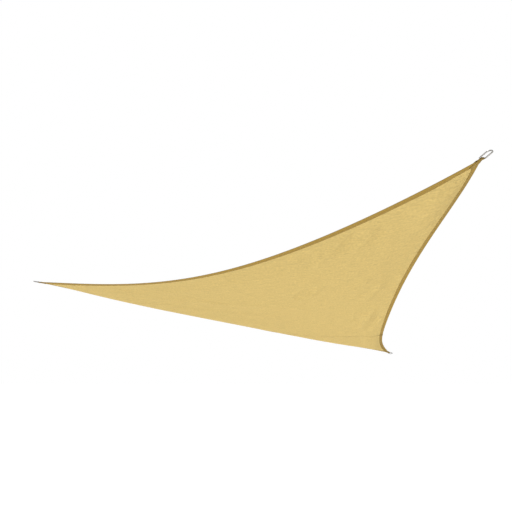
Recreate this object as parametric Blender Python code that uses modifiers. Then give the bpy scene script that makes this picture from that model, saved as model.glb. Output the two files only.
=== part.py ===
"""Triangular shade sail, hung slack from its three corners and seen as it hangs.

Metres, +Z up. The origin is the bearing point of the high corner's ring, where a hook or
shackle pulls. +X runs to the right and +Y away from the high corner's open side, towards
the low corner.

The cloth is cut flat as an equilateral triangle with hollowed edges. Every point of it is
named by its three weights, one for each corner, which sum to 1. hang() turns the weights
into the place where that point hangs, and the binding tapes, the tabs and the rings are
set out from the same function, so they follow the cloth.
"""

import math
from collections import namedtuple

import bmesh
import bpy
from mathutils import Matrix, Vector

NAME = "shade_sail"

# Driving sizes -------------------------------------------------------------------
SIDE = 3.6  # corner to corner of the flat cut
HEIGHT = SIDE * math.sqrt(3) / 2
CLOTH_THICKNESS = 0.0016
TAPE_WIDTH = 0.028  # binding tape, from the edge inwards on each face
TAPE_THICKNESS = 0.0010
TAPE_GAP = 0.0008  # between the cloth and the tape's inner faces
FOLD_INSET = 0.0006  # the fold's centre, inside the cloth's edge
MITRE_GAP = 0.0005  # from each tape's end to the line that halves the corner
MITRE_RATIO = 1.5  # share of the edge for each share of HEIGHT, along that line
TAPE_TIP_WIDTH = 0.008  # where the mitred tape starts, near a corner
WEBBING_WIDTH = 0.020
WEBBING_THICKNESS = 0.0015
TAB_LEG = 0.058  # length of each tab leg, from the corner's tip inwards
BAR_REACH = 0.010  # from the corner's tip out to the middle of the ring's bar
WIRE = 0.006  # ring wire's diameter
WIRE_GAP = 0.0003
RING_LENGTH = 0.056  # bar to far end, between wire centres
RING_WIDTH = 0.030  # side to side, between wire centres
RING_BEND = 0.004  # bend radius beside the bar, at the wire's centre

# Mesh density --------------------------------------------------------------------
CLOTH_CELLS = 66  # along each side
EDGE_CROWDING = 1.25  # above 1, cells are smaller beside the edges
FOLD_STEPS = 4  # faces around the tape's fold
LEG_STEPS = 2  # faces across each leg of the tape
TAB_STEPS = 6  # faces along each tab leg
LOOP_STEPS = 8  # faces around the ring's bar
RING_ARC_STEPS = 10
RING_BEND_STEPS = 3

# Cloth corner tips, from the high corner's tip
CORNER = {
    "high": Vector((0.0, 0.0, 0.0)),
    "left": Vector((-2.850, 2.292, -0.076)),
    "low": Vector((0.483, 3.466, -0.616)),
}

# Each edge's hollow (towards the middle of the cloth) and sag (straight down), in metres,
# and its roll (the slope of the bound edge, up from its outside). With s from 1 at the start
# corner to -1 at the end corner:
#   hollow and sag = (1 - s * s) * (middle + lean * s + ends * s**2 + hook * s**3)
#   roll = middle + lean * s + ends * s**2 + hook * s**3
Bow = namedtuple("Bow", "middle lean ends hook")
Edge = namedtuple("Edge", "start end hollow sag roll")
EDGES = (
    Edge(
        "left",
        "high",
        hollow=Bow(0.172, -0.009, -0.092, -0.107),
        sag=Bow(0.163, -0.014, -0.018, 0.021),
        roll=Bow(0.085, 0.038, -0.130, -0.022),
    ),
    Edge(
        "high",
        "low",
        hollow=Bow(0.160, -0.073, -0.006, -0.093),
        sag=Bow(0.059, -0.081, -0.086, 0.059),
        roll=Bow(0.032, 0.330, -0.294, -0.569),
    ),
    Edge(
        "low",
        "left",
        hollow=Bow(0.264, 0.0, 0.0, 0.0),
        sag=Bow(0.077, 0.0, 0.0, 0.0),
        roll=Bow(0.0, 0.0, 0.0, 0.0),
    ),
)
ROLL_FLAT = 0.045  # the roll's slope is even this far in from the edge
ROLL_END = 0.300  # and its rise is gone this far in
ROLL_CORNER = 0.060  # share of the edge at either end along which it grows

# The cloth between the edges sags further: BELLY_LEAN moves that towards a corner, and the
# pouch is the deep roll of slack cloth just inside the edge from low to left.
BELLY_LEAN = {"high": 0.164, "left": -0.130, "low": -0.127}
POUCH_MIDDLE = 0.300
POUCH_ENDS = 0.270
POUCH_FADE = 6  # power of the distance from that edge

# Soft folds between two points of the cloth, each given by its weights in the order high,
# left, low, with the fold's half width at either end. A height below 0 is a trough.
Fold = namedtuple("Fold", "start end start_half end_half height")
FOLDS = (
    # fanning out of the left corner
    Fold((0.110, 0.870, 0.020), (0.440, 0.180, 0.380), 0.050, 0.110, -0.004),
    Fold((0.085, 0.880, 0.035), (0.330, 0.230, 0.440), 0.050, 0.120, 0.004),
    Fold((0.193, 0.781, 0.026), (0.225, 0.669, 0.106), 0.050, 0.060, -0.005),
    Fold((0.290, 0.681, 0.029), (0.315, 0.585, 0.100), 0.055, 0.070, -0.004),
    Fold((0.315, 0.585, 0.100), (0.288, 0.501, 0.211), 0.060, 0.080, 0.005),
    Fold((0.282, 0.541, 0.177), (0.300, 0.453, 0.248), 0.060, 0.070, -0.004),
    # under the edge from left to high
    Fold((0.528, 0.447, 0.025), (0.483, 0.429, 0.087), 0.040, 0.050, -0.007),
    Fold((0.450, 0.289, 0.262), (0.561, 0.247, 0.192), 0.060, 0.055, 0.011),
    Fold((0.422, 0.279, 0.299), (0.599, 0.211, 0.190), 0.060, 0.055, -0.011),
    Fold((0.630, 0.257, 0.112), (0.791, 0.192, 0.018), 0.055, 0.050, -0.013),
    Fold((0.655, 0.278, 0.067), (0.712, 0.261, 0.028), 0.045, 0.045, 0.007),
    Fold((0.707, 0.206, 0.087), (0.816, 0.164, 0.021), 0.050, 0.045, 0.013),
    Fold((0.725, 0.174, 0.102), (0.831, 0.132, 0.037), 0.050, 0.045, -0.011),
    Fold((0.759, 0.141, 0.102), (0.825, 0.112, 0.062), 0.045, 0.045, 0.007),
    # beside the edge from high to low
    Fold((0.279, 0.067, 0.655), (0.451, 0.028, 0.522), 0.060, 0.055, 0.014),
    Fold((0.283, 0.092, 0.625), (0.485, 0.052, 0.462), 0.055, 0.055, -0.014),
    Fold((0.331, 0.115, 0.554), (0.461, 0.084, 0.454), 0.055, 0.055, 0.011),
    Fold((0.492, 0.103, 0.405), (0.613, 0.057, 0.331), 0.055, 0.050, -0.010),
    Fold((0.528, 0.117, 0.355), (0.610, 0.077, 0.314), 0.050, 0.050, 0.010),
    Fold((0.554, 0.137, 0.309), (0.636, 0.109, 0.256), 0.050, 0.050, -0.007),
)
FOLD_RISE = 0.4  # share of a fold's length along which it grows and fades
FOLD_FREE = 0.045  # no fold this near an edge, where the tape holds the cloth flat
FOLD_FULL = 0.120  # full height from this far in

ORDER = ("high", "left", "low")
DOWN = Vector((0.0, 0.0, -1.0))
STEP = 1e-4  # of a weight, for the surface's slopes


# The hung surface ----------------------------------------------------------------
def inward(start, end):
    """Unit vector in the plane of the corners, from the middle of an edge to the cloth."""
    along = (CORNER[end] - CORNER[start]).normalized()
    middle = (CORNER[start] + CORNER[end]) / 2
    centre = sum(CORNER.values(), Vector()) / 3
    across = centre - middle
    return (across - along * across.dot(along)).normalized()


INWARD = {edge: inward(edge.start, edge.end) for edge in EDGES}
UP = (CORNER["low"] - CORNER["high"]).cross(CORNER["left"] - CORNER["high"]).normalized()


def bowed(bow, s):
    return bow.middle + s * (bow.lean + s * (bow.ends + s * bow.hook))


def smooth(low, high, value):
    t = min(max((value - low) / (high - low), 0.0), 1.0)
    return t * t * (3 - 2 * t)


# The flat cut's corners, for distances on the cloth
FLAT = {
    name: SIDE / math.sqrt(3) * Vector((math.cos(turn), math.sin(turn)))
    for name, turn in zip(ORDER, (math.pi / 2, math.pi * 7 / 6, math.pi * 11 / 6))
}


def flat_place(weights):
    return sum((FLAT[name] * weight for name, weight in zip(ORDER, weights)), Vector((0.0, 0.0)))


def fold_height(weights):
    """How far the folds lift a point of the cloth off the smooth surface."""
    place = flat_place(weights)
    lift = 0.0
    for fold in FOLDS:
        start, end = flat_place(fold.start), flat_place(fold.end)
        run, reach = end - start, place - start
        along = reach.dot(run) / run.length_squared
        half = fold.start_half + (fold.end_half - fold.start_half) * along
        across = abs(reach.x * run.y - reach.y * run.x) / run.length
        if 0 < along < 1 and across < half:
            length = smooth(0.0, FOLD_RISE, along) * smooth(0.0, FOLD_RISE, 1 - along)
            lift += fold.height * length * math.cos(math.pi / 2 * across / half) ** 2
    for weight in weights:
        lift *= smooth(FOLD_FREE, FOLD_FULL, weight * HEIGHT)
    return lift


def roll_height(edge, p, q):
    """How far the roll of an edge lifts a point with these weights at the edge's ends."""
    depth = (1 - p - q) * HEIGHT
    grown = smooth(0.0, ROLL_CORNER, p) * smooth(0.0, ROLL_CORNER, q)
    return bowed(edge.roll, p - q) * grown * depth * (1 - smooth(ROLL_FLAT, ROLL_END, depth))


def hang(high, left, low, folded=False):
    """Where the point with these corner weights hangs, on the cloth's middle surface."""
    weights = {"high": high, "left": left, "low": low}
    place = sum((CORNER[name] * weights[name] for name in ORDER), Vector())
    for edge in EDGES:
        p, q = weights[edge.start], weights[edge.end]
        place += 4 * p * q * bowed(edge.hollow, p - q) * INWARD[edge]
        place += 4 * p * q * bowed(edge.sag, p - q) * DOWN
        place += roll_height(edge, p, q) * UP
    lean = sum(BELLY_LEAN[name] * (weights[name] - 1 / 3) for name in ORDER)
    pouch = POUCH_MIDDLE + POUCH_ENDS * (left - low) ** 2
    belly = lean + pouch * (1 - high) ** POUCH_FADE
    place += 27 * high * left * low * belly * DOWN
    if folded:
        place += fold_height((high, left, low)) * UP
    return place


def on_edge(edge, t, depth=0.0):
    """The weights of a point at t along an edge, and depth (of HEIGHT) in from it."""
    third = next(name for name in ORDER if name not in (edge.start, edge.end))
    return {edge.start: 1 - t - depth / 2, edge.end: t - depth / 2, third: depth}


def edge_frame(edge, t, depth):
    """Point, inward direction on the cloth, normal and metres for each unit of depth."""
    here = hang(**on_edge(edge, t, depth))
    along = (hang(**on_edge(edge, t + STEP, depth)) - here).normalized()
    slope = (hang(**on_edge(edge, t, depth + STEP)) - here) / STEP
    slope -= along * slope.dot(along)
    normal = along.cross(slope).normalized()
    if normal.dot(UP) < 0:
        normal.negate()
    return here, slope.normalized(), normal, slope.length


def corner_weights(corner, inset):
    """The weights at inset metres from a corner, on the line that halves it."""
    share = inset / HEIGHT
    return {name: 1 - share if name == corner else share / 2 for name in ORDER}


def corner_frame(corner, inset=0.0):
    """Matrix at a corner: X out of the cloth along its middle, Y across, Z its normal."""
    here = hang(**corner_weights(corner, inset))
    out = (here - hang(**corner_weights(corner, inset + HEIGHT * STEP))).normalized()
    first, second = (name for name in ORDER if name != corner)
    shifted = corner_weights(corner, inset)
    shifted[first] += STEP
    shifted[second] -= STEP
    across = hang(**shifted) - here
    normal = out.cross(across - out * across.dot(out)).normalized()
    if normal.dot(UP) < 0:
        normal.negate()
    side = normal.cross(out)
    turn = Matrix((out, side, normal)).transposed().to_4x4()
    return Matrix.Translation(here) @ turn


# Everything is modelled from the high corner's tip, and then moved so that the origin is
# where its ring bears on whatever holds it.
SEAT = Vector((BAR_REACH + RING_LENGTH - WIRE / 2, 0.0, 0.0))  # in the corner's frame
ORIGIN = Matrix.Translation(-(corner_frame("high") @ SEAT))


# Blender helpers -----------------------------------------------------------------
def collection(name):
    made = bpy.data.collections.new(name)
    bpy.context.scene.collection.children.link(made)
    return made


def finish(name, colour, roughness, metallic=0.0):
    material = bpy.data.materials.new(name)
    material.use_nodes = True
    shader = material.node_tree.nodes["Principled BSDF"]
    shader.inputs["Base Color"].default_value = (*colour, 1.0)
    shader.inputs["Roughness"].default_value = roughness
    shader.inputs["Metallic"].default_value = metallic
    material.diffuse_color = (*colour, 1.0)
    return material


def add_object(name, data, material, parts):
    data.materials.append(material)
    made = bpy.data.objects.new(name, data)
    parts.objects.link(made)
    return made


def add_thickness(made, thickness):
    solid = made.modifiers.new("thickness", "SOLIDIFY")
    solid.thickness = thickness
    solid.offset = 0.0
    solid.use_even_offset = True


def sheet_object(name, rows, thickness, material, parts):
    """A sheet through rows of points, made from a flat grid, then given its thickness."""
    down, across = len(rows) - 1, len(rows[0]) - 1
    mesh = bmesh.new()
    bmesh.ops.create_grid(mesh, x_segments=across, y_segments=down, size=0.5)
    for vert in mesh.verts:
        column = round((vert.co.x + 0.5) * across)
        row = round((vert.co.y + 0.5) * down)
        vert.co = ORIGIN @ rows[row][column]
    data = bpy.data.meshes.new(name)
    mesh.to_mesh(data)
    mesh.free()
    data.shade_smooth()
    made = add_object(name, data, material, parts)
    add_thickness(made, thickness)
    return made


# The pieces ----------------------------------------------------------------------
def make_cloth(material, parts):
    """A flat triangle, cut into even cells and then hung."""
    mesh = bmesh.new()
    bmesh.ops.create_circle(mesh, cap_ends=True, segments=3, radius=1.0)
    tips = [vert.co.copy() for vert in mesh.verts]
    whole = (tips[1] - tips[0]).cross(tips[2] - tips[0]).z
    bmesh.ops.subdivide_edges(
        mesh, edges=mesh.edges[:], cuts=CLOTH_CELLS - 1, use_grid_fill=True
    )
    for vert in mesh.verts:
        shares = []
        for k in range(3):
            one, two = tips[(k + 1) % 3], tips[(k + 2) % 3]
            area = (one - vert.co).cross(two - vert.co).z
            shares.append(max(area / whole, 0.0) ** EDGE_CROWDING)
        weights = dict(zip(ORDER, (share / sum(shares) for share in shares)))
        vert.co = ORIGIN @ hang(**weights, folded=True)
    data = bpy.data.meshes.new("cloth")
    mesh.to_mesh(data)
    mesh.free()
    data.shade_smooth()
    cloth = add_object("sail_cloth", data, material, parts)
    add_thickness(cloth, CLOTH_THICKNESS)


def tape_depth(edge, t):
    """How deep the tape reaches at t: its width, or less where the mitre cuts it."""
    mitre = 2 * MITRE_GAP / SIDE
    nearer_end = min(t, 1 - t)
    return min(TAPE_WIDTH / edge_frame(edge, t, 0.0)[3], (nearer_end - mitre) / MITRE_RATIO)


def tape_stations(edge):
    """Places along an edge: the cloth's own, and where each mitre starts and ends."""
    starts = []
    for width in (TAPE_TIP_WIDTH, TAPE_WIDTH):
        for end in (0.0, 1.0):
            t = abs(end - width / SIDE)
            depth = width / edge_frame(edge, t, 0.0)[3]
            starts.append(abs(end - MITRE_RATIO * depth - 2 * MITRE_GAP / SIDE))
    shares = [(k / CLOTH_CELLS) ** EDGE_CROWDING for k in range(CLOTH_CELLS + 1)]
    places = [near / (near + far) for near, far in zip(shares, reversed(shares))]
    return sorted(starts + [t for t in places if min(starts) < t < max(starts)])


def make_tape(edge, material, parts):
    """Tape folded over an edge of the cloth, and mitred at both ends."""
    lift = CLOTH_THICKNESS / 2 + TAPE_GAP + TAPE_THICKNESS / 2
    rows = []
    for t in tape_stations(edge):
        here, inwards, normal, _ = edge_frame(edge, t, 0.0)
        depth = tape_depth(edge, t)
        leg = [edge_frame(edge, t, depth * k / LEG_STEPS) for k in range(LEG_STEPS, 0, -1)]
        row = [point - facing * lift for point, _, facing, _ in leg]
        for k in range(FOLD_STEPS + 1):
            turn = math.pi * k / FOLD_STEPS
            outwards = FOLD_INSET - lift * math.sin(turn)
            row.append(here + inwards * outwards - normal * lift * math.cos(turn))
        row += [point + facing * lift for point, _, facing, _ in reversed(leg)]
        rows.append(row)
    name = f"binding_{edge.start}_{edge.end}"
    sheet_object(name, rows, TAPE_THICKNESS, material, parts)


def make_tab(corner, material, parts):
    """Webbing that runs out along one face, round the ring's bar and back on the other."""
    radius = WIRE / 2 + WIRE_GAP + WEBBING_THICKNESS / 2
    tip = corner_frame(corner)
    legs = [TAB_LEG * (TAB_STEPS - k) / TAB_STEPS for k in range(TAB_STEPS)]
    line = [(corner_frame(corner, inset), 0.0, -radius) for inset in legs]
    for k in range(LOOP_STEPS + 1):
        turn = math.pi * k / LOOP_STEPS
        reach = BAR_REACH + radius * math.sin(turn)
        line.append((tip, reach, -radius * math.cos(turn)))
    line += [(corner_frame(corner, inset), 0.0, radius) for inset in reversed(legs)]
    half = WEBBING_WIDTH / 2
    rows = [
        [frame @ Vector((reach, side, height)) for side in (-half, half)]
        for frame, reach, height in line
    ]
    sheet_object(f"tab_{corner}", rows, WEBBING_THICKNESS, material, parts)


def ring_line():
    """Middle of the ring's wire: a straight bar across Y, two sides and a round end."""
    half = RING_WIDTH / 2
    bend = []
    for k in range(RING_BEND_STEPS + 1):
        turn = math.pi / 2 * k / RING_BEND_STEPS
        bend.append((RING_BEND * (1 - math.cos(turn)), half - RING_BEND * (1 - math.sin(turn))))
    arc = []
    for k in range(RING_ARC_STEPS + 1):
        turn = math.pi / 2 - math.pi * k / RING_ARC_STEPS
        arc.append((RING_LENGTH - half + half * math.cos(turn), half * math.sin(turn)))
    return bend + arc + [(x, -y) for x, y in reversed(bend)]


def make_ring(corner, material, parts):
    line = ring_line()
    wire = bpy.data.curves.new("ring", "CURVE")
    wire.dimensions = "3D"
    wire.bevel_depth = WIRE / 2
    wire.bevel_resolution = 2
    spline = wire.splines.new("POLY")
    spline.points.add(len(line) - 1)
    for point, (x, y) in zip(spline.points, line):
        point.co = (x, y, 0.0, 1.0)
    spline.use_cyclic_u = True
    ring = add_object(f"ring_{corner}", wire, material, parts)
    ring.matrix_world = ORIGIN @ corner_frame(corner) @ Matrix.Translation((BAR_REACH, 0, 0))


def main():
    for old in list(bpy.data.objects):
        bpy.data.objects.remove(old, do_unlink=True)
    parts = collection(NAME)
    cloth = finish("knitted_cloth", (0.70, 0.51, 0.20), 0.85)
    tape = finish("binding_tape", (0.40, 0.27, 0.09), 0.80)
    webbing = finish("tab_webbing", (0.42, 0.29, 0.11), 0.75)
    steel = finish("steel_wire", (0.62, 0.62, 0.60), 0.25, 1.0)
    make_cloth(cloth, parts)
    for edge in EDGES:
        make_tape(edge, tape, parts)
    for corner in ORDER:
        make_tab(corner, webbing, parts)
        make_ring(corner, steel, parts)


main()
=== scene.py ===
"""Dressed scene of a triangular shade sail, hung slack from the rings at its three corners.

Metres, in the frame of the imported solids: the origin is the bearing point of the high
corner's ring and +Z is up. Every soft solid is replaced by a finer piece in its place,
set out from the same rule: hang() turns the three corner weights of a point of the cloth
into the place where that point hangs.
"""

import math
from collections import namedtuple

import bpy
import bmesh
import numpy as np
from mathutils import Matrix, Vector


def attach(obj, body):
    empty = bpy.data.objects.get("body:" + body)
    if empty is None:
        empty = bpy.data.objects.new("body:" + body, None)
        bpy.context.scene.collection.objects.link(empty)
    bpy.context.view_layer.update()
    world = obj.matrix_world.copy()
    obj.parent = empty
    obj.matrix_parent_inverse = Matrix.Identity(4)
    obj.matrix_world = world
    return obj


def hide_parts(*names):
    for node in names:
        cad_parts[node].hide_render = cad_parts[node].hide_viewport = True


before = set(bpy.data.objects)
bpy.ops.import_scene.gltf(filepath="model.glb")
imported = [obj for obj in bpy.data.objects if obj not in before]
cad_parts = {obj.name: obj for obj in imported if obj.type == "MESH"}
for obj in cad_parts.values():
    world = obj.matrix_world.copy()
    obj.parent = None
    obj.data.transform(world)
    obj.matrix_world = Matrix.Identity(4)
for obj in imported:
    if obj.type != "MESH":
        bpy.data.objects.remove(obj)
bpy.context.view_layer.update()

bl_info = {
    "name": "Triangular Shade Sail",
    "version": (1, 0, 0),
    "blender": (4, 5, 0),
    "location": "View3D > Sidebar > Shade Sail",
    "description": "Dresses the solids of a hung triangular shade sail",
    "category": "Object",
}

BODY = "root"

# ---- The hung shape ----
SIDE = 3.6  # corner to corner of the flat cut
HEIGHT = SIDE * math.sqrt(3) / 2
ORDER = ("high", "left", "low")
HIGH, LEFT, LOW = range(3)
CORNER = np.array([[0.0, 0.0, 0.0], [-2.850, 2.292, -0.076], [0.483, 3.466, -0.616]])
UP = np.array([0.0, 0.0, 1.0])
STEP = 1e-4  # of a weight, for the surface's slopes

# Each edge's hollow (towards the middle of the cloth), sag (straight down) and roll (the
# slope of the bound edge, up from its outside). With s from 1 at the start corner to -1 at
# the end corner:
#   hollow and sag = (1 - s * s) * (middle + lean * s + ends * s**2 + hook * s**3)
#   roll = middle + lean * s + ends * s**2 + hook * s**3
Bow = namedtuple("Bow", "middle lean ends hook")
Edge = namedtuple("Edge", "start end hollow sag roll")
EDGES = (
    Edge(
        LEFT,
        HIGH,
        hollow=Bow(0.172, -0.009, -0.092, -0.107),
        sag=Bow(0.163, -0.014, -0.018, 0.021),
        roll=Bow(0.085, 0.038, -0.130, -0.022),
    ),
    Edge(
        HIGH,
        LOW,
        hollow=Bow(0.160, -0.073, -0.006, -0.093),
        sag=Bow(0.059, -0.081, -0.086, 0.059),
        roll=Bow(0.032, 0.330, -0.294, -0.569),
    ),
    Edge(
        LOW,
        LEFT,
        hollow=Bow(0.264, 0.0, 0.0, 0.0),
        sag=Bow(0.077, 0.0, 0.0, 0.0),
        roll=Bow(0.0, 0.0, 0.0, 0.0),
    ),
)
ROLL_FLAT = 0.045  # the roll's slope is even this far in from the edge
ROLL_END = 0.300  # and its rise is gone this far in
ROLL_CORNER = 0.060  # share of the edge at either end along which it grows
BELLY_LEAN = np.array([0.164, -0.130, -0.127])  # for each corner, in ORDER
POUCH_MIDDLE = 0.300
POUCH_ENDS = 0.270
POUCH_FADE = 6  # power of the distance from the edge between low and left

# Soft folds between two points of the cloth, each given by its weights in ORDER, with the
# fold's half width at either end. A height below 0 is a trough.
Fold = namedtuple("Fold", "start end start_half end_half height")
FOLDS = (
    # fanning out of the left corner
    Fold((0.110, 0.870, 0.020), (0.440, 0.180, 0.380), 0.050, 0.110, -0.004),
    Fold((0.085, 0.880, 0.035), (0.330, 0.230, 0.440), 0.050, 0.120, 0.004),
    Fold((0.193, 0.781, 0.026), (0.225, 0.669, 0.106), 0.050, 0.060, -0.005),
    Fold((0.290, 0.681, 0.029), (0.315, 0.585, 0.100), 0.055, 0.070, -0.004),
    Fold((0.315, 0.585, 0.100), (0.288, 0.501, 0.211), 0.060, 0.080, 0.005),
    Fold((0.282, 0.541, 0.177), (0.300, 0.453, 0.248), 0.060, 0.070, -0.004),
    # under the edge from left to high
    Fold((0.528, 0.447, 0.025), (0.483, 0.429, 0.087), 0.040, 0.050, -0.007),
    Fold((0.450, 0.289, 0.262), (0.561, 0.247, 0.192), 0.055, 0.050, 0.009),
    Fold((0.422, 0.279, 0.299), (0.599, 0.211, 0.190), 0.055, 0.050, -0.008),
    Fold((0.630, 0.257, 0.112), (0.791, 0.192, 0.018), 0.052, 0.048, -0.008),
    Fold((0.655, 0.278, 0.067), (0.712, 0.261, 0.028), 0.045, 0.045, 0.005),
    Fold((0.707, 0.206, 0.087), (0.816, 0.164, 0.021), 0.050, 0.045, 0.009),
    Fold((0.725, 0.174, 0.102), (0.831, 0.132, 0.037), 0.050, 0.045, -0.009),
    Fold((0.759, 0.141, 0.102), (0.825, 0.112, 0.062), 0.045, 0.045, 0.007),
    # beside the edge from high to low
    Fold((0.279, 0.067, 0.655), (0.451, 0.028, 0.522), 0.060, 0.055, 0.011),
    Fold((0.283, 0.092, 0.625), (0.485, 0.052, 0.462), 0.055, 0.055, -0.010),
    Fold((0.331, 0.115, 0.554), (0.461, 0.084, 0.454), 0.055, 0.055, 0.006),
    Fold((0.492, 0.103, 0.405), (0.613, 0.057, 0.331), 0.055, 0.050, -0.005),
    Fold((0.528, 0.117, 0.355), (0.610, 0.077, 0.314), 0.050, 0.050, 0.005),
    Fold((0.554, 0.137, 0.309), (0.636, 0.109, 0.256), 0.050, 0.050, -0.006),
    # short wrinkles between the panel seam and the low corner
    Fold((0.172, 0.067, 0.761), (0.184, 0.034, 0.783), 0.024, 0.022, -0.004),
    Fold((0.094, 0.075, 0.831), (0.111, 0.039, 0.850), 0.024, 0.022, -0.004),
)
FOLD_RISE = 0.25  # share of a fold's length along which it grows and fades
FOLD_FREE = 0.045  # no fold this near an edge, where the tape holds the cloth flat
FOLD_FULL = 0.120  # full height from this far in

# The panel seam, square to the edge from high to low
SEAMED = EDGES[1]  # that edge
SEAM_START = np.array([0.257, 0.0, 0.743])
SEAM_END = np.array([0.0, 0.514, 0.486])
SEAM_AT = SEAM_START[LOW]  # along that edge
SEAM_LENGTH = SEAM_END[LEFT] * HEIGHT
SEAM_ASIDE = np.array([1.0, 0.0, -1.0]) / SIDE  # weights for each metre square to the seam
SEAM_STEPS = 150
SEAM_INSETS = (0.4626, 0.6682)  # of the tape's width, along the seam from either edge
SEAM_GAP = 0.00005  # between its two layers
SEAM_ROUNDING = 0.00015

# ---- Making details ----
TAPE_GAP = 0.0008  # between the cloth and the tape's inner faces, at the fold
TAPE_GAP_SEWN = 0.0003  # and where the stitches pull it down
TAPE_SEWN_FROM = (0.3, 0.7)  # shares of its width between which it comes down
TAPE_ROUNDING = 0.00025
TAPE_TIP = 0.008  # how wide the tape still is where it ends in a corner
FOLD_INSET = 0.0006  # the fold's centre, inside the cloth's edge
MITRE_GAP = 0.0005
MITRE_RATIO = 1.5  # share of the edge for each share of HEIGHT, along the mitre
HIGH_TAPER = 0.22  # share of its width that the tape loses towards the high corner
HIGH_TAPER_SPAN = (0.02, 0.08)  # shares of the edge between which it comes back
LAP_GAP = 0.0001  # between the tape's two lengths, where they are joined
LAP_FALL = (1.05, 1.6)  # where the upper one comes down, in lengths of the lap
JOINT_HALF = 0.013  # half the width of the painted shade band across the tape where the seam meets it
BAR_REACH = 0.010  # from a corner's tip out to the middle of the ring's bar
WIRE = 0.006
WIRE_GAP = 0.0003
RING_LENGTH = 0.056  # bar to far end, between wire centres
RING_BEND = 0.004
TAB_ROUNDING = 0.0004
TAB_SHUT_TO = 0.002  # out from the cloth's tip, where the tab's legs start to part
TIP_HALF = 0.0035  # half the width of the bound tip
TIP_SPREAD = 0.5  # and how much it grows for each metre in from there
PRESS_EASE = 0.003  # on either side of the cloth's rim, where the legs close
STATION = 0.012  # along the tapes
EDGE_CROWDING = 1.25  # above 1, cells are smaller beside the edges
SHARP_FROM = math.radians(50)
ROUNDED_FROM = math.radians(60)
WELD = 1e-6

# Stitches
TAPE_ROWS = (0.0035, 0.0105)  # rows, from the tape's inner edge outwards
ROW_INSET_LEAST = 0.006  # a row ends where it comes this near the edge
ROW_CLIMB = 0.02  # of the lap, on either side of its start, where a row climbs onto it
SEAM_ROW_INSETS = (0.6168, 0.8224)  # of the tape's width, along the seam from either edge
SEAM_ROW_SHIFT = 0.3  # of the seam's width, from its middle to each row
CORNER_ROW = 0.027  # a row on the cloth, in from the tape, between the seam and the low corner
CORNER_ROW_SPAN = (SEAM_AT + 0.004, 0.975)  # along the edge from high to low
CORNER_ROW_POINTS = 60
BOX_START = 0.014  # a tab's box of stitches, from the cloth's tip
BOX_END = 0.004  # from the end of the tab's leg
BOX_SIDE = 0.003  # and from its sides
BOX_POINTS = 16  # along each of its lines
STITCH_RISE = 0.45  # of the thread's diameter
STITCH_SLANT = 0.08  # radians, the most that a stitch turns from its row

# Tones: how much lighter or darker a spot is than its material's colour, which is 1. Several are
# painted shade or painted highlight, as each says
RIB_PAINTED_LIGHT = (0.94, 1.04)  # painted shade between the ribs of yarn and painted highlight on top of them
PLY_TONES = (0.75, 1.15)  # darkest and lightest spots of the thread's random tone, from noise
SEAM_TONE = 1.05
SEAM_PAINTED_SHADE = 0.18  # painted shade on the seam's two layers, darkest beside the tape
SEAM_PAINTED_SHADE_REACH = 0.13  # and how far along the seam that painted shade fades
TAPE_FOLD_PAINTED_LIGHT = 1.14  # painted light beside the fold
TAPE_PAINTED_HIGHLIGHT = 0.20  # painted highlight round it
TAPE_PAINTED_SHADE = 0.17  # painted shade along the rows of stitches
TAPE_PAINTED_SHADE_FROM = (0.15, 0.5)  # shares of its width between which that painted shade comes in
LAP_TONE = 0.94  # the tape's second length
JOINT_PAINTED_SHADE = 0.55  # painted shade across the tape where the seam meets it


def unit(vectors):
    return vectors / np.linalg.norm(vectors, axis=-1, keepdims=True)


PLANE_UP = unit(np.cross(CORNER[LOW] - CORNER[HIGH], CORNER[LEFT] - CORNER[HIGH]))
# Square to each edge, in the plane of the corners and towards the cloth
INWARD = {edge: unit(np.cross(PLANE_UP, CORNER[edge.end] - CORNER[edge.start])) for edge in EDGES}

# The flat cut's corners: X runs across the roll of cloth and Y along it
FLAT_TURNS = np.array([1 / 6, 3 / 2, 5 / 6]) * math.pi
FLAT = SIDE / math.sqrt(3) * np.stack([np.cos(FLAT_TURNS), np.sin(FLAT_TURNS)], axis=1)


def bowed(bow, s):
    return bow.middle + s * (bow.lean + s * (bow.ends + s * bow.hook))


def smooth(low, high, value):
    t = np.clip((value - low) / (high - low), 0.0, 1.0)
    return t * t * (3 - 2 * t)


def beside(place, start, end):
    """How far along a straight line of the flat cut each place is, from 0 to 1, and the
    distance from that line."""
    run = end - start
    length = np.linalg.norm(run)
    reach = place - start
    along = reach @ run / length**2
    across = np.abs(reach[:, 0] * run[1] - reach[:, 1] * run[0]) / length
    return along, across


def fold_height(weights):
    """How far the folds lift each point off the smooth surface."""
    place = weights @ FLAT
    lift = np.zeros(len(weights))
    for fold in FOLDS:
        along, across = beside(place, np.array(fold.start) @ FLAT, np.array(fold.end) @ FLAT)
        half = fold.start_half + (fold.end_half - fold.start_half) * along
        inside = (along > 0) & (along < 1) & (across < half)
        rise = fold.height * smooth(0.0, FOLD_RISE, along) * smooth(0.0, FOLD_RISE, 1 - along)
        lift += np.where(inside, rise * np.cos(math.pi / 2 * across / half) ** 2, 0.0)
    for corner in range(3):
        lift *= smooth(FOLD_FREE, FOLD_FULL, weights[:, corner] * HEIGHT)
    return lift


def roll_height(edge, weights):
    """How far the roll of an edge lifts each point of the cloth."""
    p, q = weights[:, edge.start], weights[:, edge.end]
    depth = (1 - p - q) * HEIGHT
    kept = smooth(0.0, ROLL_CORNER, p) * smooth(0.0, ROLL_CORNER, q)
    return bowed(edge.roll, p - q) * kept * depth * (1 - smooth(ROLL_FLAT, ROLL_END, depth))


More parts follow.
